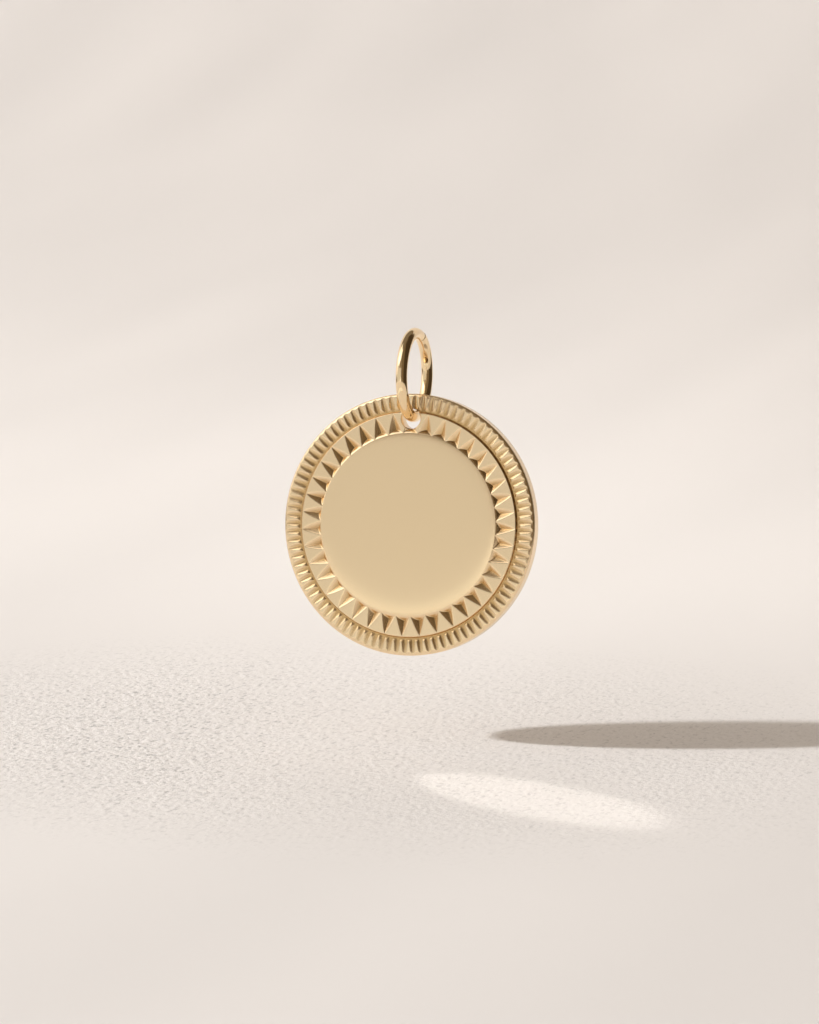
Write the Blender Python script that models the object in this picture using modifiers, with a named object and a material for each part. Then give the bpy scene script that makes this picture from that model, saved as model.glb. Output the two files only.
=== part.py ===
"""Round medallion with a blank middle and a border of teeth and ribs, on a wire jump ring.

+Z is up and the front faces -Y. The origin is the inside top of the jump ring's eye, where a
chain passes. The medallion is one piece of metal, modelled flat with its front up and its top
at +Y, and then stood up on the pivot where it hangs from the ring.
"""

import math

import bmesh
import bpy
from mathutils import Matrix, Vector

MM = 0.001

# Jump ring: a round wire bent to a circle, its cut ends closed up
WIRE_DIAMETER = 0.8 * MM
EYE_DIAMETER = 4.9 * MM
SEAM_GAP = 0.04 * MM
SEAM_FROM_TOP = math.radians(20)

# Medallion as a whole
DISC_DIAMETER = 18.0 * MM
DISC_THICKNESS = 1.25 * MM
BACK_ROUND = 0.06 * MM

# Hole for the jump ring
HOLE_PLAY = 0.58 * MM
HOLE_TO_RIM = 1.03 * MM
HANG_GAP = 0.05 * MM

# Widths of the border's bands, from the rim inwards
SHOULDER_WIDTH = 0.27 * MM
RIB_LENGTH = 0.73 * MM
CHANNEL_WIDTH = 0.05 * MM
STEP_WIDTH = 0.09 * MM
LAND_WIDTH = 0.09 * MM
TOOTH_LENGTH = 1.20 * MM

# Heights of the border's levels, from the blank middle down
TABLE_RISE = 0.10 * MM
STEP_HEIGHT = 0.20 * MM
RIB_RISE = 0.12 * MM
SHOULDER_DROP = 0.22 * MM

# Blank middle: its wall leans outwards from the disc's axis by this angle
TABLE_WALL_LEAN = math.radians(39)
TABLE_ROUND = 0.05 * MM

# Pits between the teeth, at their deepest, and the strip left between two of them
PIT_PITCH = 1.04 * MM
PIT_DEPTH = 0.30 * MM
TOOTH_POINT_WIDTH = 0.04 * MM
# The hand-set pits drift from even spacing: by this angle once round, and twice round
DRIFT_ONCE = math.radians(1.7)
DRIFT_TWICE = math.radians(1.0)

# Grooves between the ribs, at the channel
GROOVE_PITCH = 0.56 * MM
GROOVE_WIDTH = 0.48 * MM
GROOVE_DEPTH = 0.14 * MM
GROOVE_RUNOUT = 0.90 * MM

# Facets
TURNED_STEPS = 120
ROUND_STEPS = 3
HOLE_SIDES = 32
WIRE_POINTS = 64
WIRE_BEVEL_RESOLUTION = 4
MERGE = 0.001 * MM

# Places along the disc's radius
DISC_RADIUS = DISC_DIAMETER / 2
RIB_OUTER = DISC_RADIUS - SHOULDER_WIDTH
NOSE_OUTER = RIB_OUTER - RIB_LENGTH
CHANNEL_OUTER = NOSE_OUTER - RIB_RISE
CHANNEL_INNER = CHANNEL_OUTER - CHANNEL_WIDTH
TOOTH_BAND_OUTER = CHANNEL_INNER - STEP_WIDTH
PIT_TIP = TOOTH_BAND_OUTER - LAND_WIDTH
TABLE_FOOT = PIT_TIP - TOOTH_LENGTH

# Heights above the disc's middle plane
TABLE_LEVEL = DISC_THICKNESS / 2
TOOTH_LEVEL = TABLE_LEVEL - TABLE_RISE
CHANNEL_LEVEL = TOOTH_LEVEL - STEP_HEIGHT
RIB_LEVEL = CHANNEL_LEVEL + RIB_RISE
SHOULDER_LEVEL = RIB_LEVEL - SHOULDER_DROP
BACK_LEVEL = -DISC_THICKNESS / 2

# Places of the ring, the hole and the disc below the origin
EYE_RADIUS = EYE_DIAMETER / 2
WIRE_RADIUS = WIRE_DIAMETER / 2
RING_CENTRE_Z = -EYE_RADIUS
WIRE_CENTRE_RADIUS = EYE_RADIUS + WIRE_RADIUS
PIVOT_Z = RING_CENTRE_Z - WIRE_CENTRE_RADIUS
HOLE_RADIUS = (WIRE_DIAMETER + HOLE_PLAY) / 2
# The wire curves up through the disc's thickness, so the hole clears it at the disc's two faces
WIRE_AT_FACES_Z = RING_CENTRE_Z - math.sqrt(EYE_RADIUS**2 - (DISC_THICKNESS / 2) ** 2)
HOLE_Z = WIRE_AT_FACES_Z + HANG_GAP - HOLE_RADIUS
HOLE_FROM_CENTRE = DISC_RADIUS - HOLE_TO_RIM - HOLE_RADIUS
DISC_Z = HOLE_Z - HOLE_FROM_CENTRE


def clear_scene():
    """Remove whatever the file opened with."""
    for obj in list(bpy.data.objects):
        bpy.data.objects.remove(obj, do_unlink=True)


def new_collection(name):
    """A collection in the scene."""
    collection = bpy.data.collections.new(name)
    bpy.context.scene.collection.children.link(collection)
    return collection


def gold(name, roughness):
    """Warm yellow gold with the given polish."""
    material = bpy.data.materials.new(name)
    material.use_nodes = True
    shader = material.node_tree.nodes["Principled BSDF"]
    shader.inputs["Base Color"].default_value = (0.83, 0.60, 0.32, 1.0)
    shader.inputs["Metallic"].default_value = 1.0
    shader.inputs["Roughness"].default_value = roughness
    return material


def quarter_round(centre, radii, first, last):
    """Points of an ellipse's arc in the (radius, height) plane, between two angles in degrees."""
    points = []
    for step in range(ROUND_STEPS + 1):
        angle = math.radians(first + (last - first) * step / ROUND_STEPS)
        points.append(
            (centre[0] + radii[0] * math.cos(angle), centre[1] + radii[1] * math.sin(angle))
        )
    return points


def turned(name, profile, collection):
    """A solid turned round the Z axis from (radius, height) points, top to bottom outside."""
    mesh = bpy.data.meshes.new(name)
    edges = [(i, i + 1) for i in range(len(profile) - 1)]
    mesh.from_pydata([(radius, 0.0, height) for radius, height in profile], edges, [])
    obj = bpy.data.objects.new(name, mesh)
    collection.objects.link(obj)
    screw = obj.modifiers.new("Turn", "SCREW")
    screw.steps = TURNED_STEPS
    screw.render_steps = TURNED_STEPS
    screw.use_merge_vertices = True
    screw.merge_threshold = MERGE
    screw.use_smooth_shade = False
    return obj


def disc_profile():
    """Section of the disc without its raised middle, from the front centre to the back centre."""
    points = [(0.0, TOOTH_LEVEL), (TOOTH_BAND_OUTER, TOOTH_LEVEL)]
    points.append((CHANNEL_INNER, CHANNEL_LEVEL))
    points += quarter_round((NOSE_OUTER, CHANNEL_LEVEL), (RIB_RISE, RIB_RISE), 180, 90)
    points += quarter_round(
        (RIB_OUTER, SHOULDER_LEVEL), (SHOULDER_WIDTH, SHOULDER_DROP), 90, 0
    )
    points += quarter_round(
        (DISC_RADIUS - BACK_ROUND, BACK_LEVEL + BACK_ROUND), (BACK_ROUND, BACK_ROUND), 0, -90
    )
    points.append((0.0, BACK_LEVEL))
    return points


def table_profile():
    """Section of the raised blank middle, whose leaning wall runs down past the pits' floors."""
    depth = TABLE_RISE + 2 * PIT_DEPTH
    top_radius = TABLE_FOOT - TABLE_RISE * math.tan(TABLE_WALL_LEAN)
    slope = math.degrees(TABLE_WALL_LEAN)
    tangent = TABLE_ROUND * math.tan((math.pi / 2 - TABLE_WALL_LEAN) / 2)
    points = [(0.0, TABLE_LEVEL)]
    points += quarter_round(
        (top_radius - tangent, TABLE_LEVEL - TABLE_ROUND), (TABLE_ROUND, TABLE_ROUND), 90, slope
    )
    points.append((top_radius + depth * math.tan(TABLE_WALL_LEAN), TABLE_LEVEL - depth))
    points.append((0.0, TABLE_LEVEL - depth))
    return points


def notch_cutters(name, notches, tip, base, depth, level, collection):
    """Four-sided pyramids lying round the disc, tips outwards, each for one V-shaped notch.

    notches holds (angle, half width) pairs, with the angle clockwise from the top.
    """
    bm = bmesh.new()
    normal = Vector((0.0, 0.0, 1.0))
    for angle, half_width in notches:
        outward = Vector((math.sin(angle), math.cos(angle), 0.0))
        across = normal.cross(outward)
        place = Matrix.Identity(4)
        place.col[0].xyz = across * half_width
        place.col[1].xyz = normal * depth
        place.col[2].xyz = outward * (tip - base)
        place.col[3].xyz = outward * (tip + base) / 2 + normal * level
        bmesh.ops.create_cone(
            bm, cap_ends=True, segments=4, radius1=1.0, radius2=0.0, depth=1.0, matrix=place
        )
    mesh = bpy.data.meshes.new(name)
    bm.to_mesh(mesh)
    bm.free()
    obj = bpy.data.objects.new(name, mesh)
    collection.objects.link(obj)
    return obj


def pit_angles():
    """Clockwise angles of the pits from the hole, with the drift of their hand-set spacing."""
    count = round(2 * math.pi * TABLE_FOOT / PIT_PITCH)
    angles = []
    for index in range(count):
        even = 2 * math.pi * index / count
        drift = DRIFT_ONCE * (math.cos(even) - 1) + DRIFT_TWICE * math.sin(2 * even)
        angles.append(even + drift)
    return angles


def pit_cutters(collection):
    """Pits between the teeth: they start under the middle's wall and run out to the band's land."""
    angles = pit_angles()
    # The base lies under the wall, so far in that its corners are hidden and neighbours don't meet
    base = TABLE_FOOT - TOOTH_POINT_WIDTH
    deepest = TABLE_FOOT + PIT_DEPTH * math.tan(TABLE_WALL_LEAN)
    fall = PIT_DEPTH / (PIT_TIP - deepest)
    notches = []
    for index, angle in enumerate(angles):
        before = (angle - angles[index - 1]) % (2 * math.pi)
        after = (angles[(index + 1) % len(angles)] - angle) % (2 * math.pi)
        room = min(before, after) * base
        notches.append((angle, (room - TOOTH_POINT_WIDTH) / 2))
    return notch_cutters(
        "pit_cutters", notches, PIT_TIP, base, fall * (PIT_TIP - base), TOOTH_LEVEL, collection
    )


def groove_cutters(collection):
    """Grooves between the ribs: deepest in the channel, they run out through the shoulder."""
    middle = (NOSE_OUTER + RIB_OUTER) / 2
    count = round(2 * math.pi * middle / GROOVE_PITCH)
    notches = [(2 * math.pi * (index + 0.5) / count, GROOVE_WIDTH / 2) for index in range(count)]
    base = (CHANNEL_INNER + CHANNEL_OUTER) / 2
    return notch_cutters(
        "groove_cutters",
        notches,
        RIB_OUTER + GROOVE_RUNOUT,
        base,
        GROOVE_DEPTH,
        RIB_LEVEL,
        collection,
    )


def hole_cutter(collection):
    """Round bar through the disc, near its top."""
    bm = bmesh.new()
    bmesh.ops.create_cone(
        bm,
        cap_ends=True,
        segments=HOLE_SIDES,
        radius1=HOLE_RADIUS,
        radius2=HOLE_RADIUS,
        depth=2 * DISC_THICKNESS,
        matrix=Matrix.Translation((0.0, HOLE_FROM_CENTRE, 0.0)),
    )
    mesh = bpy.data.meshes.new("hole_cutter")
    bm.to_mesh(mesh)
    bm.free()
    obj = bpy.data.objects.new("hole_cutter", mesh)
    collection.objects.link(obj)
    return obj


def stand_up(obj, pivot):
    """Turn a flat-modelled object's front to -Y and hang it from the pivot."""
    obj.parent = pivot
    obj.location = (0.0, 0.0, DISC_Z - PIVOT_Z)
    obj.rotation_euler = (math.radians(90), 0.0, 0.0)


def combine(obj, tool, operation):
    """Cut a helper out of the object, or join it on, and keep the helper out of the renders."""
    boolean = obj.modifiers.new(tool.name, "BOOLEAN")
    boolean.operation = operation
    boolean.object = tool
    tool.hide_render = True
    tool.display_type = "WIRE"


def make_medallion(parts, cutters):
    """The disc with its raised middle, teeth, ribs and hole, hanging from its pivot."""
    pivot = bpy.data.objects.new("medallion_pivot", None)
    pivot.empty_display_size = WIRE_CENTRE_RADIUS
    pivot.location = (0.0, 0.0, PIVOT_Z)
    parts.objects.link(pivot)
    medallion = turned("medallion", disc_profile(), parts)
    medallion.data.materials.append(gold("satin gold", 0.3))
    steps = (
        (pit_cutters(cutters), "DIFFERENCE"),
        (turned("raised_middle", table_profile(), cutters), "UNION"),
        (groove_cutters(cutters), "DIFFERENCE"),
        (hole_cutter(cutters), "DIFFERENCE"),
    )
    for tool, operation in steps:
        stand_up(tool, pivot)
        combine(medallion, tool, operation)
    stand_up(medallion, pivot)


def make_jump_ring(parts):
    """The wire, bent in the plane across the disc, with its seam at the back of the top."""
    curve = bpy.data.curves.new("jump_ring", "CURVE")
    curve.dimensions = "3D"
    curve.bevel_depth = WIRE_RADIUS
    curve.bevel_resolution = WIRE_BEVEL_RESOLUTION
    curve.use_fill_caps = True
    spline = curve.splines.new("POLY")
    spline.points.add(WIRE_POINTS - 1)
    half_gap = SEAM_GAP / 2 / WIRE_CENTRE_RADIUS
    turn = 2 * math.pi - 2 * half_gap
    for index, point in enumerate(spline.points):
        angle = SEAM_FROM_TOP + half_gap + turn * index / (WIRE_POINTS - 1)
        back = WIRE_CENTRE_RADIUS * math.sin(angle)
        up = WIRE_CENTRE_RADIUS * math.cos(angle)
        point.co = (0.0, back, up, 1.0)
    ring = bpy.data.objects.new("jump_ring", curve)
    ring.location = (0.0, 0.0, RING_CENTRE_Z)
    curve.materials.append(gold("polished gold", 0.12))
    parts.objects.link(ring)


def main():
    clear_scene()
    parts = new_collection("engravable_pendant")
    cutters = new_collection("helpers")
    make_jump_ring(parts)
    make_medallion(parts, cutters)


main()
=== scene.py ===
"""Engravable pendant: a satin gold medallion on a polished wire ring, over a pale plaster floor.

The file is laid out as an add-on and run as a script. Lengths are in metres, +Z is up and the
medallion's front faces -Y. Angles round the medallion run clockwise from its hole, as seen from
the front, and angles round the scene run from the front (-Y) towards +X.
"""

import math
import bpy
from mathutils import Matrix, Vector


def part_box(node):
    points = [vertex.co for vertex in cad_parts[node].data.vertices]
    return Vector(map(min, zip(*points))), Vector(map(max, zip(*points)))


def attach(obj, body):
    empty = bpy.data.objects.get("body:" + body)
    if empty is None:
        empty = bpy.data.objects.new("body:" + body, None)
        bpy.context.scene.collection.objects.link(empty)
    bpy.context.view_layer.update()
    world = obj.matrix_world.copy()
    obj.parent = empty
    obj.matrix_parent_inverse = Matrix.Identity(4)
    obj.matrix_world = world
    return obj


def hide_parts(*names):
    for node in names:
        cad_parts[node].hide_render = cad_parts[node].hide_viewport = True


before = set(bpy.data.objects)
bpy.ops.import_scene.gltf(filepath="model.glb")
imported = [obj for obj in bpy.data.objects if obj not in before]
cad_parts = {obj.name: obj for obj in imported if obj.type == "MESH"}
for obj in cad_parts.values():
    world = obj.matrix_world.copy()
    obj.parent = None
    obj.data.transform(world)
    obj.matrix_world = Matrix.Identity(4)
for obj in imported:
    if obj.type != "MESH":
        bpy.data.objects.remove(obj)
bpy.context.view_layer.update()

from types import SimpleNamespace

import bpy
import numpy as np
from bpy.props import FloatProperty, FloatVectorProperty, PointerProperty
from mathutils import Matrix, Vector

bl_info = {
    "name": "Engravable Pendant",
    "version": (1, 0, 0),
    "blender": (4, 5, 0),
    "location": "View3D > Sidebar > Pendant",
    "description": "Medallion with a blank middle and a border of teeth and ribs, on a jump ring",
    "category": "Add Mesh",
}

MM = 0.001
TURN = 2 * math.pi

DISC_LOW, DISC_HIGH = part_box("medallion")
WIRE_LOW, WIRE_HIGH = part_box("jump_ring")


def length(name, description, millimetres):
    """A length property whose default is given in millimetres."""
    return FloatProperty(
        name=name, description=description, default=millimetres * MM, min=0.0, unit="LENGTH"
    )


def turn(name, description, degrees):
    """An angle property whose default is given in degrees."""
    return FloatProperty(
        name=name, description=description, default=math.radians(degrees), subtype="ANGLE"
    )


def power(name, description, watts):
    """A light's power property, given in watts."""
    return FloatProperty(
        name=name, description=description, default=watts, min=0.0, unit="POWER"
    )


def share(name, description, default):
    """A factor property."""
    return FloatProperty(
        name=name, description=description, default=default, min=0.0, soft_max=1.0
    )


def colour(name, description, default):
    """A colour property."""
    return FloatVectorProperty(
        name=name,
        description=description,
        default=default,
        size=3,
        min=0.0,
        max=1.0,
        subtype="COLOR",
    )


class PendantMedallion(bpy.types.PropertyGroup):
    """Sizes and finish of the medallion."""

    diameter: length("Diameter", "Across the whole disc", (DISC_HIGH.x - DISC_LOW.x) / MM)
    thickness: length(
        "Thickness", "From the back to the blank middle", (DISC_HIGH.y - DISC_LOW.y) / MM
    )
    back_round: length("Back rounding", "Radius of the back's outer edge", 0.06)
    hole_diameter: length("Hole", "Across the hole for the ring", 1.38)
    hole_to_centre: length("Hole place", "From the hole's middle to the disc's", 7.280)
    hole_round: length("Hole rounding", "Radius of the hole's two edges", 0.05)
    shoulder_width: length("Shoulder", "Width of the rounded rim outside the ribs", 0.27)
    rib_length: length("Rib length", "Length of a rib's straight crown", 0.73)
    channel_width: length("Channel", "Width of the flat channel inside the ribs", 0.09)
    step_width: length("Step width", "Width of the wall from the teeth to the channel", 0.09)
    land_width: length("Land", "Flat strip outside the tips of the pits", 0.05)
    tooth_length: length("Tooth length", "From the middle's foot to the tips of the pits", 1.29)
    table_rise: length("Middle's rise", "Height of the blank middle over the teeth", 0.10)
    step_height: length("Step height", "Height of the teeth over the channel", 0.20)
    rib_rise: length("Rib rise", "Height of the ribs over the channel", 0.12)
    nose_length: length("Nose length", "Length of the slope at a rib's inner end", 0.30)
    shoulder_drop: length("Shoulder drop", "Fall of the rounded rim below the ribs", 0.22)
    shoulder_slope: length("Shoulder slope", "The part of that fall that is an even slope", 0.105)
    table_lean: turn("Wall's lean", "Lean of the middle's wall from the disc's axis", 39.0)
    table_fade: length("Middle's fall", "Gentle fall of the blank middle at its edge", 0.10)
    pit_depth: length("Pit depth", "Deepest place of a pit below the teeth", 0.27)
    pit_scoop: FloatProperty(
        name="Pit scoop",
        description="How hollow a pit's flanks are: 1 for straight ones",
        default=1.1,
        min=1.0,
    )
    tooth_point: length("Tooth point", "Width left of a tooth at the middle's foot", 0.04)
    drift_once: turn("Drift once round", "Uneven setting of the pits, once round", 1.7)
    drift_twice: turn("Drift twice round", "Uneven setting of the pits, twice round", 1.0)
    groove_width: length("Groove width", "Width of a groove at the channel", 0.53)
    groove_depth: length("Groove depth", "Depth of a groove at the channel", 0.145)
    groove_runout: length("Groove run-out", "How far past the ribs a groove would end", 0.65)
    edge_round: length("Cast rounding", "Height over which the relief's edges are rounded", 0.05)
    metal: colour("Metal", "Colour of the medallion's gold", (0.93, 0.72, 0.46))
    # Painted shade: the darker, browner gold given to the relief's depths, standing in for the
    # shade that falls there
    painted_recess_shade: colour("Recess", "Colour of the gold in the relief's depths", (0.64, 0.42, 0.19))
    satin: share("Satin", "Roughness of the blank middle", 0.23)
    frost: share("Frost", "Roughness of the floors of the relief", 0.25)


class PendantRing(bpy.types.PropertyGroup):
    """Sizes and finish of the jump ring."""

    wire: length("Wire", "Thickness of the round wire", (WIRE_HIGH.x - WIRE_LOW.x) / MM)
    eye: length("Eye", "Across the inside of the ring", 4.9)
    seam_gap: length("Seam gap", "Between the wire's two butted ends", 0.03)
    seam_place: turn("Seam place", "From the top of the ring towards the back", 20.0)
    seam_step: length("Seam step", "How far the two ends miss each other sideways", 0.02)
    end_round: length("End rounding", "Radius of the edges of the wire's ends", 0.03)
    metal: colour("Metal", "Colour of the ring's gold", (0.95, 0.74, 0.46))
    polish: share("Polish", "Roughness of the polished wire", 0.07)


class PendantStage(bpy.types.PropertyGroup):
    """The floor, the light and the camera."""

    clearance: length("Clearance", "From the disc's lowest point to the floor", 6.4)
    floor_slope: turn("Floor slope", "Slope of the floor under the pendant", 6.5)
    floor_reach: length("Floor reach", "Length of the floor from the dish's middle", 480.0)
    wall_reach: length("Wall reach", "Length of the floor and the wall together", 1300.0)
    dish_ahead: length("Dish ahead", "From the pendant to the dish's middle", 300.0)
    plaster: colour("Plaster", "Colour of the floor and the wall behind", (0.887, 0.850, 0.822))
    camera_turn: turn("Camera turn", "Camera's angle from the front towards +X", 18.0)
    camera_rise: turn("Camera rise", "Camera's angle above the horizon", 1.0)
    camera_roll: turn("Camera roll", "How far the pendant leans clockwise in the picture", 1.6)
    camera_distance: length("Camera distance", "From the disc's centre to the camera", 300.0)
    picture_height: length("Picture height", "Height of the picture at the disc", 70.4)
    side_shift: length("Side shift", "Disc's centre right of the picture's middle", 0.048)
    drop_shift: length("Drop", "Disc's centre below the picture's middle", 0.864)
    window_power: power("Window", "Power of the large soft light", 0.05)
    key_power: power("Key", "Power of the small light", 7.9)
    wall_power: power("Wall light", "Power of the light on the wall", 0.10)
    thrown_power: power(
        "Thrown light", "Power of the light that the blank middle throws on the floor", 0.000105
    )
    room_light: share("Room light", "Strength of the light from all round", 0.215)


def places(s):
    """The radii, levels and places that follow from the medallion's sizes."""
    p = SimpleNamespace()
    p.rim = s.diameter / 2
    p.rib_outer = p.rim - s.shoulder_width
    p.nose_outer = p.rib_outer - s.rib_length
    p.channel_outer = p.nose_outer - s.rib_rise
    p.channel_inner = p.channel_outer - s.channel_width
    p.channel_middle = (p.channel_inner + p.channel_outer) / 2
    p.nose_end = p.channel_outer + s.nose_length
    p.band_outer = p.channel_inner - s.step_width
    p.pit_tip = p.band_outer - s.land_width
    p.table_foot = p.pit_tip - s.tooth_length
    p.table_top = s.thickness / 2
    p.tooth_top = p.table_top - s.table_rise
    p.channel_level = p.tooth_top - s.step_height
    p.rib_top = p.channel_level + s.rib_rise
    p.shoulder_low = p.rib_top - s.shoulder_drop
    p.back = -s.thickness / 2
    p.table_edge = p.table_foot - s.table_rise * math.tan(s.table_lean)
    p.hole_radius = s.hole_diameter / 2
    p.centre_x = (DISC_LOW.x + DISC_HIGH.x) / 2
    p.centre_z = (DISC_LOW.z + DISC_HIGH.z) / 2
    return p


PITS = 39
RIBS = 93

# The columns of the medallion's grid come out even for the pits and for the ribs
COLUMNS = PITS * RIBS // math.gcd(PITS, RIBS)
PIT_COLUMNS = COLUMNS // PITS
FLANK_COLUMNS = 9

# How the columns share a pit's flank, from its valley to its edge, and a half tooth beyond it
FLANK_SHARES = (0.0, 0.05, 0.12, 0.24, 0.38, 0.54, 0.70, 0.83, 0.92, 1.0)
TOOTH_SHARES = (0.0, 0.08, 0.19, 0.34, 0.52, 0.72, 0.92, 1.0)
TOOTH_STOPS = (*range(FLANK_COLUMNS, PIT_COLUMNS // 2 + 1), PIT_COLUMNS / 2)

# The least and the most of the room to the next tooth's middle that a pit's flank takes
FLANK_LEAST = 0.10
FLANK_MOST = 0.90

# How the rows share the blank middle and the shoulder, closer together where they turn
TABLE_SHARES = (0.52, 0.69, 0.78, 0.85, 0.90, 0.935, 0.96, 0.975, 0.984)
SHOULDER_SHARES = (0.1, 0.22, 0.34, 0.46, 0.58, 0.69, 0.79, 0.87, 0.93, 0.97, 0.992, 1.0)

# How much the pits' tips and depths vary by hand
HAND_SEED = 7
HAND_TIP = 0.010 * MM
HAND_DEPTH = 0.03

# How the slopes of the relief bend, as powers of the share of the way along each of them
VALLEY_POWER = 0.76
FADE_POWER = 12
NOSE_POWER = 1.5
SLOPE_POWER = 1.6
RIM_POWER = 9

# How far past its edge the blank middle's fall is worked out, as a share of its radius
FADE_REACH = 1.1

# Rounding of single edges and creases, as shares of the group's cast rounding
TABLE_EDGE_ROUND = 2.0
TABLE_FOOT_ROUND = 0.4
STEP_EDGE_ROUND = 0.8
STEP_FOOT_ROUND = 0.3
GROOVE_EDGE_ROUND = 0.4

# Smallest half width of a pit, at its tip
LEAST_HALF = 0.02 * MM

# Turns of the rows that follow a rounded edge, a quarter circle
QUARTER = np.radians(np.linspace(0, 90, 5))

# Flat strips round the back's border and round the hole, and the start of the edge wall
BACK_STRIP = 0.03 * MM
HOLE_STRIP = 0.02 * MM
WALL_START = 0.02 * MM

# The window of the grid that the loops round the hole fill
WINDOW_MARGIN = 0.09 * MM
WINDOW_COLUMNS = 24
WINDOW_LOOPS = 20


def soft_min(a, b, width):
    """The lower of two heights, with the ridge where they cross rounded over a height of width."""
    near = np.clip(1 - np.abs(a - b) / width, 0, None)
    return np.minimum(a, b) - width * near**2 / 4


def soft_max(a, b, width):
    """The higher of two heights, with the crease where they cross filled over a height of width."""
    return -soft_min(-a, -b, width)


def smooth_step(value, low, high):
    """0 below low and 1 above high, easing in between as 3t^2 - 2t^3."""
    t = np.clip((value - low) / (high - low), 0, 1)
    return t * t * (3 - 2 * t)


def set_pits(s, p):
    """Where each pit lies and how it is cut.

    Angle = even spacing + a drift once round and one twice round. Width fills the gap to the
    nearer neighbour but for the tooth's point, and depth and tip vary a little by hand.
    """
    rng = np.random.default_rng(HAND_SEED)
    even = TURN * np.arange(PITS) / PITS
    pits = SimpleNamespace()
    pits.angle = even + s.drift_once * (np.cos(even) - 1) + s.drift_twice * np.sin(2 * even)
    pits.after = (np.roll(pits.angle, -1) - pits.angle) % TURN
    pits.before = np.roll(pits.after, 1)
    base = p.table_foot - s.tooth_point
    room = np.minimum(pits.before, pits.after) * base
    half_width = (room - s.tooth_point) / 2
    deepest = p.table_foot + s.pit_depth * math.tan(s.table_lean)
    pits.tip = p.pit_tip + rng.normal(0, HAND_TIP, PITS)
    pits.fall = s.pit_depth / (pits.tip - deepest) * (1 + rng.normal(0, HAND_DEPTH, PITS))
    pits.slope = pits.fall * (pits.tip - base) / half_width
    pits.borders = pits.angle + pits.after / 2
    return pits


def pit_bed(radius, angle, s, p, pits):
    """Height of the band of teeth with its pits.

    A pit is a valley that rises outwards to the teeth's level as a power of the way from its
    tip, and its two flanks rise from the valley as a power a little over 1, slightly hollow.
    """
    index = np.searchsorted(pits.borders, angle) % PITS
    off = (angle - pits.angle[index] + math.pi) % TURN - math.pi
    along = radius * np.cos(off)
    across = radius * np.sin(off)
    reach = p.pit_tip - p.table_foot
    run = (pits.tip[index] - along) / reach
    deep = pits.fall[index] * reach * np.sign(run) * np.abs(run) ** VALLEY_POWER
    half = np.maximum(deep / pits.slope[index], LEAST_HALF)
    pit = p.tooth_top - deep + np.abs(deep) * (np.abs(across) / half) ** s.pit_scoop
    return soft_min(np.full_like(pit, p.tooth_top), pit, s.edge_round)


def rib_crowns(radius, s, p):
    """Height of the ribs' crowns and of the shoulder outside them.

    A rib's nose climbs from the channel as 1 minus a power of the way still to go. The shoulder
    falls in two parts: an even slope bent by a power, and the rim's turn, 1 minus the root of
    1 minus a high power.
    """
    nose = np.clip((p.nose_end - radius) / s.nose_length, 0, 1)
    shoulder = np.clip((radius - p.rib_outer) / s.shoulder_width, 0, 1)
    crown = p.channel_level + s.rib_rise * (1 - nose**NOSE_POWER)
    crown = crown - s.shoulder_slope * shoulder**SLOPE_POWER
    rest = s.shoulder_drop - s.shoulder_slope
    return crown - rest * (1 - np.sqrt(1 - shoulder**RIM_POWER))


def groove_beds(radius, angle, s, p):
    """Height of the grooves between the ribs: parabolas across that grow shallower outwards."""
    pitch = TURN / RIBS
    off = (angle % pitch) - pitch / 2
    along = radius * np.cos(off)
    across = radius * np.sin(off)
    end = p.rib_outer + s.groove_runout
    bed = p.rib_top - s.groove_depth * (end - along) / (end - p.channel_middle)
    return bed + s.groove_depth * (across / (s.groove_width / 2)) ** 2


def relief(radius, angle, s, p, pits):
    """Height of the medallion's front over its middle plane, and how deep the spot lies.

    The blank middle is flat, falls gently as a high power of the radius and ends in a leaning
    wall. Outside it lie the band of teeth with its pits, a steep step, the flat channel and the
    ribs with their grooves, joined by rounded minima and maxima. The depth is 0 on the blank
    middle and on the tops of teeth and ribs, and grows to 1 on the floors of the relief.
    """
    angle = angle % TURN
    fade = s.table_fade * np.clip(radius / p.table_edge, 0, FADE_REACH) ** FADE_POWER
    top = p.table_top - fade
    wall = p.table_top - (radius - p.table_edge) / math.tan(s.table_lean)
    table = soft_min(top, wall, TABLE_EDGE_ROUND * s.edge_round)
    bed = pit_bed(radius, angle, s, p, pits)
    inner = soft_max(table, bed, TABLE_FOOT_ROUND * s.edge_round)
    step = p.tooth_top - (radius - p.band_outer) * s.step_height / s.step_width
    inner = soft_min(inner, step, STEP_EDGE_ROUND * s.edge_round)

    channel = np.full_like(radius, p.channel_level)
    crown = rib_crowns(radius, s, p)
    groove = groove_beds(radius, angle, s, p)
    ribs = np.maximum(soft_min(crown, groove, GROOVE_EDGE_ROUND * s.edge_round), channel)
    outer = np.where(radius > p.channel_outer, ribs, channel)

    joined = soft_max(inner, channel, STEP_FOOT_ROUND * s.edge_round)
    border = np.where(radius > p.band_outer, joined, inner)
    inside = radius < p.channel_middle
    height = np.where(inside, border, outer)

    teeth_depth = np.where(radius > p.band_outer, s.step_height / 2, s.pit_depth)
    in_teeth = (p.tooth_top - height) / teeth_depth
    in_ribs = (np.where(radius < p.nose_end, p.rib_top, crown) - height) / s.rib_rise
    depth = np.where(inside, in_teeth, in_ribs)
    off_table = smooth_step(radius, p.table_edge, p.table_foot)
    return height, np.clip(depth, 0, 1) * off_table


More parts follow.
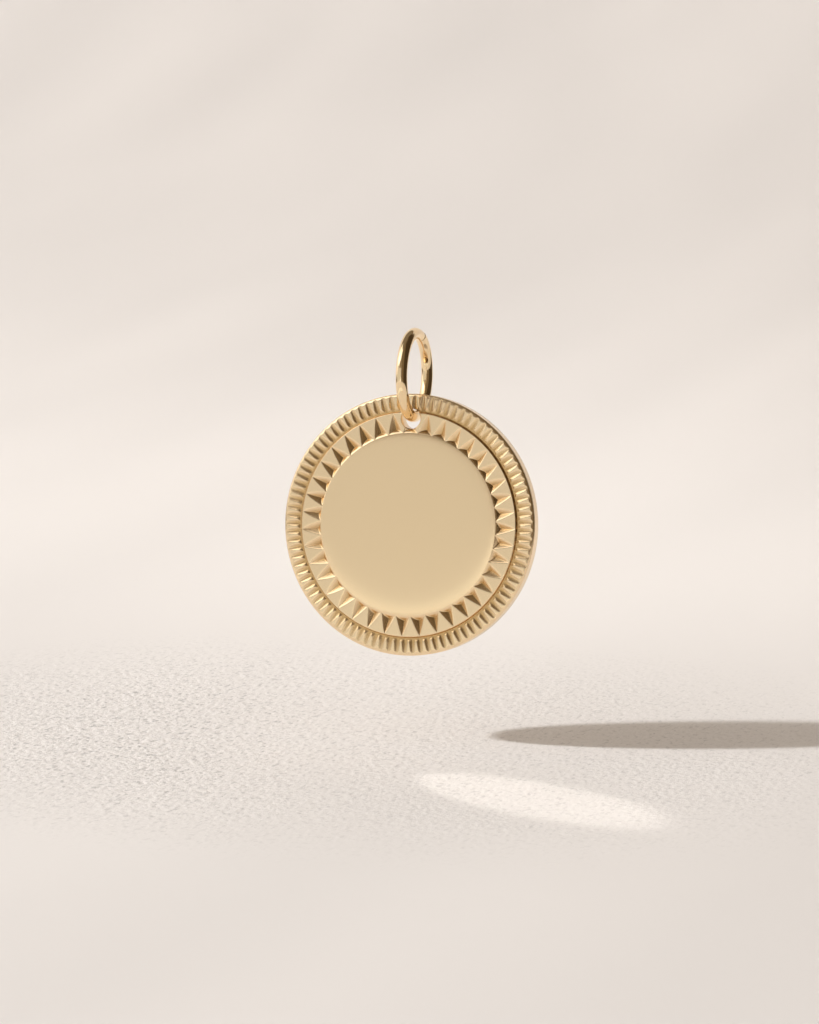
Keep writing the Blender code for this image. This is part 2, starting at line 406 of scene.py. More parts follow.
def row_radii(s, p):
    """Radii of the front's rows, closer together where the relief turns, out to the rim."""
    wall_start = p.table_edge - 0.07 * MM
    pits_start = p.table_foot + 0.28 * MM
    tips_start = p.pit_tip - 0.13 * MM
    step_start = p.band_outer - 0.03 * MM
    step_end = p.channel_inner + 0.02 * MM
    spans = (
        p.table_edge * np.array(TABLE_SHARES),
        np.linspace(wall_start, p.table_foot, 9),
        np.linspace(p.table_foot, pits_start, 10)[1:],
        np.linspace(pits_start, tips_start, 8)[1:],
        np.linspace(tips_start, step_start, 6)[1:],
        np.linspace(step_start, step_end, 9)[1:],
        np.linspace(p.channel_outer, p.nose_end, 7),
        np.linspace(p.nose_end, p.rib_outer, 7)[1:],
        p.rib_outer + s.shoulder_width * np.array(SHOULDER_SHARES),
    )
    return np.concatenate(spans)


def column_angles(radii, s, p, pits):
    """Angle of every column in every row, so that columns follow the pits' edges and the ribs.

    Inside the step a pit's columns share its flanks and the half teeth beside it; outside the
    step they are evenly spaced, 13 to a rib, with one down each groove. The two are mixed
    across the step.
    """
    column = np.arange(COLUMNS)
    local = (column + PIT_COLUMNS // 2) % PIT_COLUMNS - PIT_COLUMNS // 2
    pit = ((column + PIT_COLUMNS // 2) // PIT_COLUMNS) % PITS
    room = np.where(local >= 0, pits.after[pit], pits.before[pit]) / 2
    half = pits.fall[pit] * (pits.tip[pit] - radii[:, None]) / pits.slope[pit]
    edge = np.clip(half / radii[:, None], FLANK_LEAST * room, FLANK_MOST * room)
    step = np.abs(local)
    flank = np.interp(step, np.arange(FLANK_COLUMNS + 1), FLANK_SHARES)
    tooth = np.interp(step, TOOTH_STOPS, TOOTH_SHARES)
    off = np.where(step <= FLANK_COLUMNS, flank * edge, edge + tooth * (room - edge))
    by_pit = pits.angle[pit] + np.sign(local) * off
    by_rib = TURN * (column + 0.5) / COLUMNS
    by_rib = np.where(by_rib - by_pit > math.pi, by_rib - TURN, by_rib)
    mix = smooth_step(radii[:, None], p.pit_tip, p.channel_outer)
    return by_pit * (1 - mix) + by_rib * mix


def grid_quads(number):
    """Quads of a grid of vertex numbers whose rows are closed loops, joined one to one."""
    after = np.roll(number, -1, axis=1)
    return np.stack((number[:-1], after[:-1], after[1:], number[1:]), axis=-1)


def loop_part(loop, start, end):
    """The part of a closed loop of vertex numbers from one place on to another."""
    return np.roll(loop, -start)[: (end - start) % len(loop) + 1]


def skin_rows(radii, s, p, pits):
    """Radius, height, angle and depth of the skin's points, in rows from the middle to the back.

    The rows go out over the front, straight down the rim, round the back's edge as a quarter
    circle and a little way in on the flat back.
    """
    back_radii = p.rim - s.back_round * (1 - np.cos(QUARTER))
    back_heights = p.back + s.back_round * (1 - np.sin(QUARTER))
    low_radii = np.concatenate(([p.rim], back_radii, [p.rim - s.back_round - BACK_STRIP]))
    low_heights = np.concatenate(([p.shoulder_low - WALL_START], back_heights, [p.back]))
    low = len(low_radii)

    angle = column_angles(radii, s, p, pits)
    radius = np.repeat(radii[:, None], COLUMNS, axis=1)
    height, depth = relief(radius, angle, s, p, pits)
    radius = np.concatenate((radius, np.repeat(low_radii[:, None], COLUMNS, axis=1)))
    height = np.concatenate((height, np.repeat(low_heights[:, None], COLUMNS, axis=1)))
    angle = np.concatenate((angle, np.repeat(angle[-1:], low, axis=0)))
    depth = np.concatenate((depth, np.zeros((low, COLUMNS))))
    return radius, height, angle, depth


def hole_window(radii, number, s, p):
    """The grid's cells but for a window round the hole, and the loop of the window's border."""
    first = int(np.searchsorted(radii, s.hole_to_centre - p.hole_radius - WINDOW_MARGIN)) - 1
    last = int(np.searchsorted(radii, s.hole_to_centre + p.hole_radius + WINDOW_MARGIN))
    across = np.arange(-WINDOW_COLUMNS, WINDOW_COLUMNS + 1)
    cells = np.ones((len(number) - 1, COLUMNS), bool)
    cells[first:last, across[:-1]] = False
    border = np.concatenate(
        (
            number[first, across],
            number[first + 1 : last, WINDOW_COLUMNS],
            number[last, across[::-1]],
            number[first + 1 : last, -WINDOW_COLUMNS][::-1],
        )
    )
    return cells, border


def hole_lining(x, z, s, p, pits):
    """The loops from the window's border over the hole's front edge and through to the back.

    Every point lies on the bearing of its border point from the hole's middle. The distance
    shrinks evenly to the hole's front edge, follows it as a quarter circle, stays that of the
    hole through the disc, and grows as a quarter circle to a flat strip on the back.
    """
    points = len(x)
    outer = p.hole_radius + s.hole_round
    rolled = QUARTER[1:]
    from_hole = np.hypot(x, z - s.hole_to_centre)
    bearing = np.arctan2(z - s.hole_to_centre, x)
    away = np.linspace(1, 0, WINDOW_LOOPS + 1)[1:, None]
    flat_reach = outer + away * (from_hole - outer)
    edge_reach = outer - s.hole_round * np.sin(rolled)
    back_reach = np.append(p.hole_radius + s.hole_round * (1 - np.cos(QUARTER)), outer + HOLE_STRIP)
    round_reach = np.append(edge_reach, back_reach)[:, None]
    reach = np.concatenate((flat_reach, np.repeat(round_reach, points, axis=1)))

    lining = SimpleNamespace(bearing=bearing)
    lining.x = reach * np.cos(bearing)
    lining.z = s.hole_to_centre + reach * np.sin(bearing)
    lining.radius = np.hypot(lining.x, lining.z)
    lining.angle = np.arctan2(lining.x, lining.z)
    front = WINDOW_LOOPS + len(rolled)
    height, depth = relief(lining.radius[:front], lining.angle[:front], s, p, pits)
    drop = np.append(np.zeros(WINDOW_LOOPS), s.hole_round * (1 - np.cos(rolled)))
    back_height = np.append(p.back + s.hole_round * (1 - np.sin(QUARTER)), p.back)
    back_height = np.repeat(back_height[:, None], points, axis=1)
    lining.height = np.concatenate((height - drop[:, None], back_height))
    lining.depth = np.concatenate((depth, np.zeros_like(back_height)))
    return lining


def medallion_flats(number, hole_loop, radius, angle, bearing, s):
    """The flat front as one face, and the flat back as two, parted level with the hole."""
    rim_loop = number[-1]
    reach = math.acos(s.hole_to_centre / radius[-1, 0])
    right = int(np.argmin(np.abs(angle[-1] - reach)))
    left = int(np.argmin(np.abs(angle[-1] - TURN + reach)))
    hole_right = int(np.argmin(np.abs(bearing)))
    hole_left = int(np.argmax(np.abs(bearing)))
    upper = loop_part(rim_loop, left, right), loop_part(hole_loop, hole_right, hole_left)
    lower = loop_part(rim_loop, right, left), loop_part(hole_loop, hole_left, hole_right)
    return [number[0][::-1], np.concatenate(upper), np.concatenate(lower)]


def medallion_surface(s):
    """Vertices, quads, flat faces, depths and lay of the whole medallion as one closed skin.

    The skin is a polar grid: rows go out over the front, round the rim and in to the back.
    A window of the grid round the hole is left out and filled with loops that blend from the
    window's border to the hole's circle, over its rounded edge, through the disc and out on
    the back. Position = (r sin a, -height, r cos a) from the disc's centre, and the lay, along
    which the grain runs, is (a times a middle radius, r, height).
    """
    p = places(s)
    pits = set_pits(s, p)
    radii = row_radii(s, p)
    radius, height, angle, depth = skin_rows(radii, s, p, pits)
    number = np.arange(radius.size).reshape(radius.shape)
    x = (radius * np.sin(angle)).ravel()
    z = (radius * np.cos(angle)).ravel()

    cells, border = hole_window(radii, number, s, p)
    lining = hole_lining(x[border], z[border], s, p, pits)
    lining_number = number.size + np.arange(lining.x.size).reshape(lining.x.shape)
    chain = np.concatenate((border[None], lining_number))
    quads = np.concatenate((grid_quads(number)[cells], grid_quads(chain).reshape(-1, 4)))
    flats = medallion_flats(number, chain[-1], radius, angle, lining.bearing, s)

    all_x = p.centre_x + np.append(x, lining.x)
    all_z = p.centre_z + np.append(z, lining.z)
    all_heights = np.append(height, lining.height)
    vertices = np.stack((all_x, -all_heights, all_z), axis=-1)
    round_middle = (p.table_foot + p.rim) / 2
    all_around = round_middle * np.append(angle, lining.angle)
    lay = np.stack((all_around, np.append(radius, lining.radius), all_heights), axis=-1)
    return vertices, quads, flats, np.append(depth, lining.depth), lay


# Rows along the wire, points round it, and how fast the ends' sideways miss fades along it
WIRE_ROWS = 320
WIRE_SIDES = 64
MISS_FADE = 1.2 * MM


def ring_surface(s):
    """Vertices, quads and flat faces of the bent wire with its two ends butted.

    A point is the wire's centre line, a circle in the YZ plane, plus the wire's radius times
    (cos b outwards + sin b sideways). The first and last rows shrink along a quarter circle to
    round the ends, and the two ends miss each other by a small step sideways.
    """
    wire_radius = s.wire / 2
    bend = s.eye / 2 + wire_radius
    whole = TURN * bend - s.seam_gap
    start = s.end_round * (1 - np.cos(QUARTER))
    body = np.linspace(s.end_round, whole - s.end_round, WIRE_ROWS)[1:-1]
    along = np.concatenate((start, body, whole - start[::-1]))
    rounded = wire_radius - s.end_round * (1 - np.sin(QUARTER))
    size = np.concatenate((rounded, np.full(len(body), wire_radius), rounded[::-1]))
    angle = s.seam_place + (along + s.seam_gap / 2) / bend
    first_end = np.exp(-((along / MISS_FADE) ** 2))
    last_end = np.exp(-(((whole - along) / MISS_FADE) ** 2))
    step = s.seam_step / 2 * (first_end - last_end)
    around = TURN * np.arange(WIRE_SIDES) / WIRE_SIDES
    out = bend + size[:, None] * np.cos(around)
    x = size[:, None] * np.sin(around) + step[:, None]
    y = out * np.sin(angle)[:, None]
    z = -s.eye / 2 + out * np.cos(angle)[:, None]
    vertices = np.stack((x, y, z), axis=-1).reshape(-1, 3)
    number = np.arange(len(vertices)).reshape(x.shape)
    return vertices, grid_quads(number).reshape(-1, 4), [number[0][::-1], number[-1]]


def fill_mesh(mesh, vertices, quads, flats=()):
    """Put whole arrays into a mesh: smooth quads first, then flat faces of any length."""
    used, packed = np.unique(
        np.concatenate([quads.ravel(), *[np.asarray(f) for f in flats]]), return_inverse=True
    )
    sizes = np.array([4] * len(quads) + [len(f) for f in flats])
    mesh.vertices.add(len(used))
    mesh.vertices.foreach_set("co", vertices[used].ravel())
    mesh.loops.add(len(packed))
    mesh.loops.foreach_set("vertex_index", packed)
    mesh.polygons.add(len(sizes))
    mesh.polygons.foreach_set("loop_start", np.concatenate(([0], np.cumsum(sizes)[:-1])))
    mesh.polygons.foreach_set("use_smooth", np.arange(len(sizes)) < len(quads))
    mesh.update(calc_edges=True)
    mesh.validate()
    return used


def new_piece(name, vertices, quads, flats=()):
    """A mesh object at the origin, linked to the scene. It also returns the vertices it kept."""
    mesh = bpy.data.meshes.new(name)
    used = fill_mesh(mesh, vertices, quads, flats)
    piece = bpy.data.objects.new(name, mesh)
    bpy.context.scene.collection.objects.link(piece)
    return piece, used


def store(piece, name, values):
    """Keep a number, or a vector, under a name for each point of the piece's mesh."""
    if values.ndim == 1:
        kept = piece.data.attributes.new(name, "FLOAT", "POINT")
        kept.data.foreach_set("value", values.astype(np.float32))
    else:
        kept = piece.data.attributes.new(name, "FLOAT_VECTOR", "POINT")
        kept.data.foreach_set("vector", values.astype(np.float32).ravel())


def surface_material(name):
    """A material with a Principled shader, and its node tree and shader."""
    material = bpy.data.materials.new(name)
    material.use_nodes = True
    return material, material.node_tree, material.node_tree.nodes["Principled BSDF"]


def object_coordinates(tree):
    """The object's own coordinates."""
    return tree.nodes.new("ShaderNodeTexCoord").outputs["Object"]


def stored(tree, name, output="Fac"):
    """What the mesh keeps for each of its points under a name."""
    node = tree.nodes.new("ShaderNodeAttribute")
    node.attribute_name = name
    return node.outputs[output]


def noise(tree, coordinates, size, detail, stretch=(1.0, 1.0, 1.0)):
    """A noise of spots about size across on the given coordinates, stretched per axis."""
    mapping = tree.nodes.new("ShaderNodeMapping")
    mapping.inputs["Scale"].default_value = tuple(1 / (size * k) for k in stretch)
    texture = tree.nodes.new("ShaderNodeTexNoise")
    texture.inputs["Scale"].default_value = 1.0
    texture.inputs["Detail"].default_value = detail
    tree.links.new(coordinates, mapping.inputs["Vector"])
    tree.links.new(mapping.outputs["Vector"], texture.inputs["Vector"])
    return texture.outputs["Fac"]


def remap(tree, value, low, high, start=0.0, end=1.0, kind="LINEAR"):
    """The value laid out from low to high as it goes from start to end."""
    node = tree.nodes.new("ShaderNodeMapRange")
    node.interpolation_type = kind
    node.inputs["From Min"].default_value = start
    node.inputs["From Max"].default_value = end
    node.inputs["To Min"].default_value = low
    node.inputs["To Max"].default_value = high
    tree.links.new(value, node.inputs["Value"])
    return node.outputs["Result"]


def reckon(tree, operation, first, second):
    """A Math node of two inputs, each a socket or a number."""
    node = tree.nodes.new("ShaderNodeMath")
    node.operation = operation
    for socket, value in zip(node.inputs, (first, second)):
        if isinstance(value, (int, float)):
            socket.default_value = value
        else:
            tree.links.new(value, socket)
    return node.outputs["Value"]


def blend(tree, factor, first, second):
    """A colour that goes from the first to the second, each a socket or a colour."""
    node = tree.nodes.new("ShaderNodeMix")
    node.data_type = "RGBA"
    tree.links.new(factor, node.inputs["Factor"])
    for name, tint in (("A", first), ("B", second)):
        if isinstance(tint, bpy.types.NodeSocket):
            tree.links.new(tint, node.inputs[name])
        else:
            node.inputs[name].default_value = (*tint, 1.0)
    return node.outputs["Result"]


def bump(tree, height, depth, under=None):
    """A bump of the given depth, on top of another one."""
    node = tree.nodes.new("ShaderNodeBump")
    node.inputs["Strength"].default_value = 1.0
    node.inputs["Distance"].default_value = depth
    tree.links.new(height, node.inputs["Height"])
    if under is not None:
        tree.links.new(under, node.inputs["Normal"])
    return node.outputs["Normal"]


def satin_gold(s):
    """Satin gold: fine polishing grain on the high places, and cast frost and painted shade (a
    darker, browner gold) in the low ones.
    """
    fine_change = 0.02
    cloud_change = 0.01
    material, tree, shader = surface_material("satin_gold")
    shader.inputs["Metallic"].default_value = 1.0
    coordinates = object_coordinates(tree)
    low = stored(tree, "depth")
    lay = stored(tree, "lay", "Vector")
    # Painted shade: the base colour turns darker and browner with the relief's depth
    tree.links.new(blend(tree, low, s.metal, s.painted_recess_shade), shader.inputs["Base Color"])

    fine = noise(tree, coordinates, size=0.05 * MM, detail=3.0)
    cloud = noise(tree, coordinates, size=2.5 * MM, detail=2.0)
    rough = remap(tree, fine, s.satin - fine_change, s.satin + fine_change)
    rough = reckon(tree, "ADD", rough, remap(tree, cloud, -cloud_change, cloud_change))
    rough = reckon(tree, "ADD", rough, reckon(tree, "MULTIPLY", low, s.frost - s.satin))
    tree.links.new(rough, shader.inputs["Roughness"])

    lines = noise(tree, coordinates, size=0.03 * MM, detail=2.0, stretch=(1.0, 1.0, 14.0))
    grain = noise(tree, coordinates, size=0.085 * MM, detail=2.0)
    streaks = noise(tree, lay, size=0.05 * MM, detail=2.0, stretch=(1.0, 11.0, 11.0))
    grain = reckon(tree, "MULTIPLY", grain, low)
    streaks = reckon(tree, "MULTIPLY", streaks, low)
    polished = bump(tree, lines, depth=0.0003 * MM)
    frosted = bump(tree, grain, depth=0.011 * MM, under=polished)
    streaked = bump(tree, streaks, depth=0.012 * MM, under=frosted)
    tree.links.new(streaked, shader.inputs["Normal"])
    return material


def polished_gold(s):
    """Polished gold wire with faint drawing lines and a few soft handling marks."""
    marks_change = 0.03
    material, tree, shader = surface_material("polished_gold")
    shader.inputs["Metallic"].default_value = 1.0
    shader.inputs["Base Color"].default_value = (*s.metal, 1.0)
    coordinates = object_coordinates(tree)
    marks = noise(tree, coordinates, size=0.4 * MM, detail=4.0)
    fine = noise(tree, coordinates, size=0.05 * MM, detail=2.0)
    rough = remap(tree, marks, s.polish - marks_change, s.polish + marks_change)
    tree.links.new(rough, shader.inputs["Roughness"])
    tree.links.new(bump(tree, fine, depth=0.0004 * MM), shader.inputs["Normal"])
    return material


def toned(tint, tone):
    """A colour made darker or lighter, by a tone under or over 1."""
    return [min(1.0, part * tone) for part in tint]


# Tones of the plaster's clouds and specks, as shares of its colour
CLOUD_DARK = 0.93
CLOUD_LIGHT = 1.12
SPECK_DARK = 0.55

# The grain fades with the distance from the pendant and grows towards the picture's left
GRAIN_NEAR = 31 * MM
GRAIN_FAR = 56 * MM
GRAIN_LEFT_START = 2 * MM
GRAIN_LEFT_END = 20 * MM
GRAIN_RIGHT_SHARE = 0.5

# The stretch of the specks' noise that shows, and how strongly the darkest ones do
SPECK_START = 0.55
SPECK_END = 0.72
SPECK_STRENGTH = 0.8


def plaster_grain(tree, coordinates, camera_turn):
    """How strongly the grain shows: full near the pendant and left of it, gone far away."""
    away = tree.nodes.new("ShaderNodeVectorMath")
    away.operation = "LENGTH"
    tree.links.new(coordinates, away.inputs[0])
    near = remap(tree, away.outputs["Value"], 1.0, 0.0, GRAIN_NEAR, GRAIN_FAR, "SMOOTHSTEP")
    aside = tree.nodes.new("ShaderNodeVectorMath")
    aside.operation = "DOT_PRODUCT"
    aside.inputs[1].default_value = (-math.cos(camera_turn), -math.sin(camera_turn), 0.0)
    tree.links.new(coordinates, aside.inputs[0])
    ends = (GRAIN_LEFT_START, GRAIN_LEFT_END)
    left = remap(tree, aside.outputs["Value"], GRAIN_RIGHT_SHARE, 1.0, *ends, "SMOOTHSTEP")
    return reckon(tree, "MULTIPLY", near, left)


def plaster(s):
    """Matt pale plaster: faint clouds of tone, with grains and dark specks near the pendant."""
    material, tree, shader = surface_material("pale_plaster")
    shader.inputs["Roughness"].default_value = 0.9
    shader.inputs["Specular IOR Level"].default_value = 0.2
    coordinates = object_coordinates(tree)
    shown = plaster_grain(tree, coordinates, s.camera_turn)

    clouds = noise(tree, coordinates, size=26 * MM, detail=1.0, stretch=(1.0, 12.0, 1.6))
    specks = noise(tree, coordinates, size=0.3 * MM, detail=2.0, stretch=(1.0, 2.4, 1.0))
    sparse = remap(tree, specks, 0.0, SPECK_STRENGTH, SPECK_START, SPECK_END)
    ground = blend(tree, clouds, toned(s.plaster, CLOUD_DARK), toned(s.plaster, CLOUD_LIGHT))
    sparse = reckon(tree, "MULTIPLY", sparse, shown)
    marked = blend(tree, sparse, ground, toned(s.plaster, SPECK_DARK))
    tree.links.new(marked, shader.inputs["Base Color"])

    grain = noise(tree, coordinates, size=0.42 * MM, detail=4.0, stretch=(1.0, 1.8, 1.0))
    grain = reckon(tree, "MULTIPLY", grain, shown)
    tree.links.new(bump(tree, grain, depth=0.15 * MM), shader.inputs["Normal"])
    return material


def card_material(name, tint, strength):
    """A glowing or dark card, clear at its border, which is seen only in the metal."""
    material, tree, shader = surface_material(name)
    tree.nodes.remove(shader)
    glow = tree.nodes.new("ShaderNodeEmission")
    glow.inputs["Color"].default_value = (*tint, 1.0)
    glow.inputs["Strength"].default_value = strength
    clear = tree.nodes.new("ShaderNodeBsdfTransparent")
    both = tree.nodes.new("ShaderNodeMixShader")
    tree.links.new(stored(tree, "cover"), both.inputs[0])
    tree.links.new(clear.outputs["BSDF"], both.inputs[1])
    tree.links.new(glow.outputs["Emission"], both.inputs[2])
    tree.links.new(both.outputs["Shader"], tree.nodes["Material Output"].inputs["Surface"])
    return material


def toward(azimuth, elevation):
    """Unit vector towards a place at these angles, in degrees."""
    a = math.radians(azimuth)
    e = math.radians(elevation)
    return Vector((math.sin(a) * math.cos(e), -math.cos(a) * math.cos(e), math.sin(e)))


# Rows from the dish's middle to its border and points round it, with the rows closer together
# near the middle, and the share of the whole length at which the wall stands upright
DISH_ROWS = 220
DISH_SIDES = 256
DISH_POWER = 1.6
WALL_UPRIGHT = 0.9


def dish_surface(centre, level, s):
    """A wide dish: a floor that rises gently and sweeps up into a wall all round.

    The profile's slope grows evenly out to the pendant and on over the floor's length, and
    then eases to upright; radius and height are the running sums of its cosine and sine. The
    dish is set so that its surface has the given level under the pendant.
    """
    path = np.linspace(0, 1, DISH_ROWS) ** DISH_POWER * s.wall_reach
    slope = s.floor_slope * np.clip(path, 0, s.floor_reach) / s.dish_ahead
    upright = math.pi / 2 - slope[-1]
    slope = slope + upright * smooth_step(path, s.floor_reach, s.wall_reach * WALL_UPRIGHT)
    ahead = np.diff(path)
    middle = (slope[1:] + slope[:-1]) / 2
    radius = np.concatenate(([0], np.cumsum(ahead * np.cos(middle))))
    height = np.concatenate(([0], np.cumsum(ahead * np.sin(middle))))
    low = level - np.interp(s.dish_ahead, radius, height)
    around = TURN * np.arange(DISH_SIDES) / DISH_SIDES
    x = centre[0] + radius[1:, None] * np.sin(around)
    y = centre[1] + radius[1:, None] * np.cos(around)
    z = low + height[1:, None] * np.ones(DISH_SIDES)
    vertices = np.stack((x, y, z), axis=-1).reshape(-1, 3)
    number = np.arange(len(vertices)).reshape(x.shape)
    return vertices, grid_quads(number).reshape(-1, 4)[:, ::-1], [number[0]]


# Points along and up a card
CARD_COLUMNS = 65
CARD_ROWS = 33


def card_surface(centre, distance, azimuths, elevations, lift, softness):
    """A patch of a sphere round the pendant, and how far each point covers what is behind it.

    The patch lies between two azimuths and two elevations, and its lower border rises by lift
    from the first azimuth to the last. The cover grows from 0 at the border to 1 within the
    softness, given in degrees.
    """
    a = np.linspace(*azimuths, CARD_COLUMNS)
    up = np.linspace(0, 1, CARD_ROWS)[:, None]
    low = elevations[0] + lift * (a - azimuths[0]) / (azimuths[1] - azimuths[0])
    e = low + (elevations[1] - low) * up
    from_sides = np.minimum(a - azimuths[0], azimuths[1] - a)
    from_ends = np.minimum(e - low, elevations[1] - e)
    cover = smooth_step(np.minimum(from_sides, from_ends), 0, softness)
    a = np.radians(a)
    e = np.radians(e)
    x = centre[0] + distance * np.sin(a) * np.cos(e)
    y = centre[1] - distance * np.cos(a) * np.cos(e)
    z = centre[2] + distance * np.sin(e)
    vertices = np.stack((x, y, z), axis=-1).reshape(-1, 3)
    number = np.arange(len(vertices)).reshape(e.shape)
    corners = (number[:-1, :-1], number[1:, :-1], number[1:, 1:], number[:-1, 1:])
    return vertices, np.stack(corners, axis=-1).reshape(-1, 4), cover.ravel()


# Cards seen only in the metal: distance in mm, azimuths, elevations, lift, softness, tint, strength
CARDS = {
    "dark_card_right": (120, (2, 152), (-24, 89), 8, 14, (1.0, 0.74, 0.46), 0.18),
    "dark_card_left": (115, (-112, -70), (-42, 8), 0, 10, (1.0, 0.82, 0.60), 0.20),
    "deep_card_right": (118, (50, 150), (-24, 80), 0, 14, (1.0, 0.70, 0.40), 0.06),
    "bright_core": (117, (-80, -30), (18, 52), 0, 12, (1.0, 0.99, 0.97), 2.1),
    "bright_card": (118, (-88, -10), (8, 66), 26, 10, (1.0, 0.98, 0.95), 1.45),
    "dark_stripe": (119, (-60, 12), (16, 38), 0, 7, (1.0, 0.80, 0.58), 0.28),
    "grey_card": (122, (-76, 6), (-15, 24), 0, 8, (1.0, 0.98, 0.93), 0.71),
    "floor_card": (130, (-110, 50), (-46, 2), 0, 12, (1.0, 1.0, 0.96), 1.85),
    "near_floor_card": (40, (-100, 34), (-32, -13), 0, 6, (1.0, 1.0, 0.94), 0.98),
    "dark_card_below": (135, (-195, 195), (-90, -34), 0, 12, (1.0, 0.80, 0.58), 0.20),
}

# Tints of the lights
DAYLIGHT = (1.0, 0.98, 0.95)
KEY_TINT = (0.945, 0.965, 0.985)
THROWN_TINT = (1.0, 0.95, 0.88)
ROOM_TINT = (1.0, 0.83, 0.63)

# Azimuth and elevation from which a light comes, in degrees, its size and its distance
WINDOW_FROM = (-33, 46)
WINDOW_SIZE = (0.22, 0.30)
WINDOW_DISTANCE = 0.45
KEY_FROM = (-52.8, 31.8)
KEY_SIZE = (0.05, 0.05)
KEY_DISTANCE = 1.0
WALL_LIGHT_RISE = 5
WALL_LIGHT_SIZE = (0.3, 0.05)

# Place of the wall's light behind the disc, to its right in the picture and above it
WALL_LIGHT_BEHIND = 0.02
WALL_LIGHT_RIGHT = 0.06
WALL_LIGHT_ABOVE = 0.12

# The light that the blank middle throws down on the floor starts a little behind its face
THROWN_FROM = (-134.9, 41.8)
THROWN_SIZE = (0.0142, 0.0086)
THROWN_START = 0.009
THROWN_SPREAD = 9

SENSOR_SIZE = 36.0
CLIP_START = 0.001
CLIP_END = 10.0


def picture_right(s):
    """Level unit vector to the picture's right."""
    return Vector((math.cos(s.camera_turn), math.sin(s.camera_turn), 0.0))


def turned(right, up, back):
    """The turn whose X, Y and Z axes are these three unit vectors."""
    return Matrix((right, up, back)).transposed()


def place_camera(s, disc_centre):
    """The camera at the picture's angle, turned so that the pendant leans a little clockwise."""
    back = toward(math.degrees(s.camera_turn), math.degrees(s.camera_rise))
    level = picture_right(s)
    upright = back.cross(level)
    right = level * math.cos(s.camera_roll) + upright * math.sin(s.camera_roll)
    up = back.cross(right)
    camera = bpy.data.cameras.new("picture_camera")
    camera.sensor_width = SENSOR_SIZE
    camera.lens = camera.sensor_width * s.camera_distance / s.picture_height
    camera.clip_start = CLIP_START
    camera.clip_end = CLIP_END
    aim = disc_centre + up * s.drop_shift - right * s.side_shift
    place = turned(right, up, back).to_4x4()
    place.translation = aim + back * s.camera_distance
    obj = bpy.data.objects.new("picture_camera", camera)
    bpy.context.scene.collection.objects.link(obj)
    obj.matrix_world = place
    bpy.context.scene.camera = obj


def place_light(name, watts, size, tint, target, angles, distance):
    """A soft area light looking at the target from the direction of an azimuth and elevation."""
    direction = toward(*angles)
    light = bpy.data.lights.new(name, "AREA")
    light.shape = "RECTANGLE"
    light.size, light.size_y = size
    light.energy = watts
    light.color = tint
    obj = bpy.data.objects.new(name, light)
    bpy.context.scene.collection.objects.link(obj)
    obj.location = target + direction * distance
    obj.rotation_mode = "QUATERNION"
    obj.rotation_quaternion = direction.to_track_quat("Z", "Y")
    obj.visible_camera = False
    obj.visible_glossy = False
    return obj


def place_lights(s, disc_centre):
    """The soft window, the small key light, the wall's light and the light thrown on the floor."""
    place_light(
        "window", s.window_power, WINDOW_SIZE, DAYLIGHT, disc_centre, WINDOW_FROM, WINDOW_DISTANCE
    )
    place_light("key", s.key_power, KEY_SIZE, KEY_TINT, disc_centre, KEY_FROM, KEY_DISTANCE)

    azimuth = math.degrees(s.camera_turn)
    over = disc_centre - toward(azimuth, 0.0) * WALL_LIGHT_BEHIND
    over = over + picture_right(s) * WALL_LIGHT_RIGHT + Vector((0.0, 0.0, WALL_LIGHT_ABOVE))
    from_front = (azimuth, WALL_LIGHT_RISE)
    place_light("wall_light", s.wall_power, WALL_LIGHT_SIZE, DAYLIGHT, over, from_front, 0.0)

    beam = place_light(
        "thrown_light",
        s.thrown_power,
        THROWN_SIZE,
        THROWN_TINT,
        disc_centre,
        THROWN_FROM,
        -THROWN_START,
    )
    beam.data.shape = "ELLIPSE"
    beam.data.spread = math.radians(THROWN_SPREAD)
    back = toward(*THROWN_FROM)
    side = Vector((0.0, -1.0, 0.0)).cross(back).normalized()
    beam.rotation_quaternion = turned(side, back.cross(side), back).to_quaternion()


def light_room(s, scene):
    """The warm light from all round."""
    world = bpy.data.worlds.new("room")
    world.use_nodes = True
    background = world.node_tree.nodes["Background"]
    background.inputs["Color"].default_value = (*ROOM_TINT, 1.0)
    background.inputs["Strength"].default_value = s.room_light
    scene.world = world


class PENDANT_OT_medallion(bpy.types.Operator):
    """Make the medallion: one skin of gold with its relief, hole, rim and plain back"""

    bl_idname = "pendant.medallion"
    bl_label = "Medallion"

    def execute(self, context):
        s = context.scene.pendant_medallion
        vertices, quads, flats, depths, lay = medallion_surface(s)
        piece, used = new_piece("medallion_metal", vertices, quads, flats)
        # The depth also sets where the painted shade darkens the gold in the relief's hollows
        store(piece, "depth", depths[used])
        store(piece, "lay", lay[used])
        piece.data.materials.append(satin_gold(s))
        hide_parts("medallion")
        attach(piece, "disc")
        return {"FINISHED"}


class PENDANT_OT_ring(bpy.types.Operator):
    """Make the jump ring: polished wire bent to a circle, its cut ends butted"""

    bl_idname = "pendant.ring"
    bl_label = "Jump ring"

    def execute(self, context):
        s = context.scene.pendant_ring
        piece, _used = new_piece("ring_wire", *ring_surface(s))
        piece.data.materials.append(polished_gold(s))
        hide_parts("jump_ring")
        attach(piece, "ring")
        return {"FINISHED"}


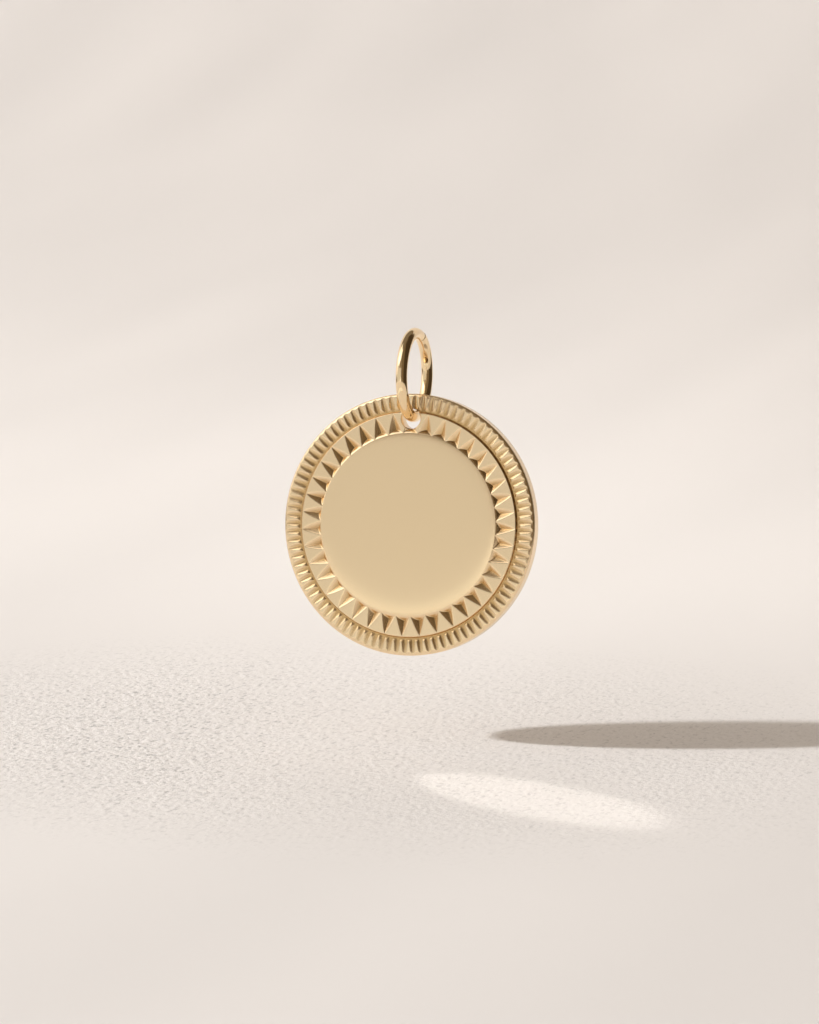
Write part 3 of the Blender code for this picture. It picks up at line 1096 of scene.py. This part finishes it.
class PENDANT_OT_stage(bpy.types.Operator):
    """Make the plaster floor, the lights and the camera"""

    bl_idname = "pendant.stage"
    bl_label = "Floor, light and camera"

    def execute(self, context):
        s = context.scene.pendant_stage
        disc_centre = (DISC_LOW + DISC_HIGH) / 2
        centre = disc_centre + toward(math.degrees(s.camera_turn), 0.0) * s.dish_ahead
        vertices, quads, flats = dish_surface(centre, DISC_LOW.z - s.clearance, s)
        floor, _used = new_piece("plaster_floor", vertices, quads, flats)
        floor.data.materials.append(plaster(s))
        for name, (distance, *patch, tint, strength) in CARDS.items():
            vertices, quads, cover = card_surface(disc_centre, distance * MM, *patch)
            card, used = new_piece(name, vertices, quads)
            store(card, "cover", cover[used])
            card.data.materials.append(card_material(name, tint, strength))
            card.visible_camera = False
            card.visible_diffuse = False
            card.visible_shadow = False
            card.visible_transmission = False
        place_lights(s, disc_centre)
        light_room(s, context.scene)
        context.scene.view_settings.view_transform = "Standard"
        place_camera(s, disc_centre)
        return {"FINISHED"}


class PENDANT_PT_sidebar(bpy.types.Panel):
    """Sidebar panel that lists the pendant's pieces and their sizes"""

    bl_idname = "PENDANT_PT_sidebar"
    bl_label = "Engravable Pendant"
    bl_space_type = "VIEW_3D"
    bl_region_type = "UI"
    bl_category = "Pendant"

    def draw(self, context):
        scene = context.scene
        rows = (
            ("pendant.medallion", scene.pendant_medallion),
            ("pendant.ring", scene.pendant_ring),
            ("pendant.stage", scene.pendant_stage),
        )
        for operator, group in rows:
            box = self.layout.box()
            box.operator(operator)
            for name in group.bl_rna.properties.keys():
                if name not in ("rna_type", "name"):
                    box.prop(group, name)


CLASSES = (
    PendantMedallion,
    PendantRing,
    PendantStage,
    PENDANT_OT_medallion,
    PENDANT_OT_ring,
    PENDANT_OT_stage,
    PENDANT_PT_sidebar,
)


def register():
    """Register the classes and hang the property groups on the scene."""
    for made in CLASSES:
        bpy.utils.register_class(made)
    bpy.types.Scene.pendant_medallion = PointerProperty(type=PendantMedallion)
    bpy.types.Scene.pendant_ring = PointerProperty(type=PendantRing)
    bpy.types.Scene.pendant_stage = PointerProperty(type=PendantStage)


def unregister():
    """Take the property groups and the classes away again."""
    del bpy.types.Scene.pendant_medallion
    del bpy.types.Scene.pendant_ring
    del bpy.types.Scene.pendant_stage
    for made in reversed(CLASSES):
        bpy.utils.unregister_class(made)


def main():
    """Make the pendant and its stage."""
    register()
    bpy.ops.pendant.medallion()
    bpy.ops.pendant.ring()
    bpy.ops.pendant.stage()


if __name__ == "__main__":
    main()
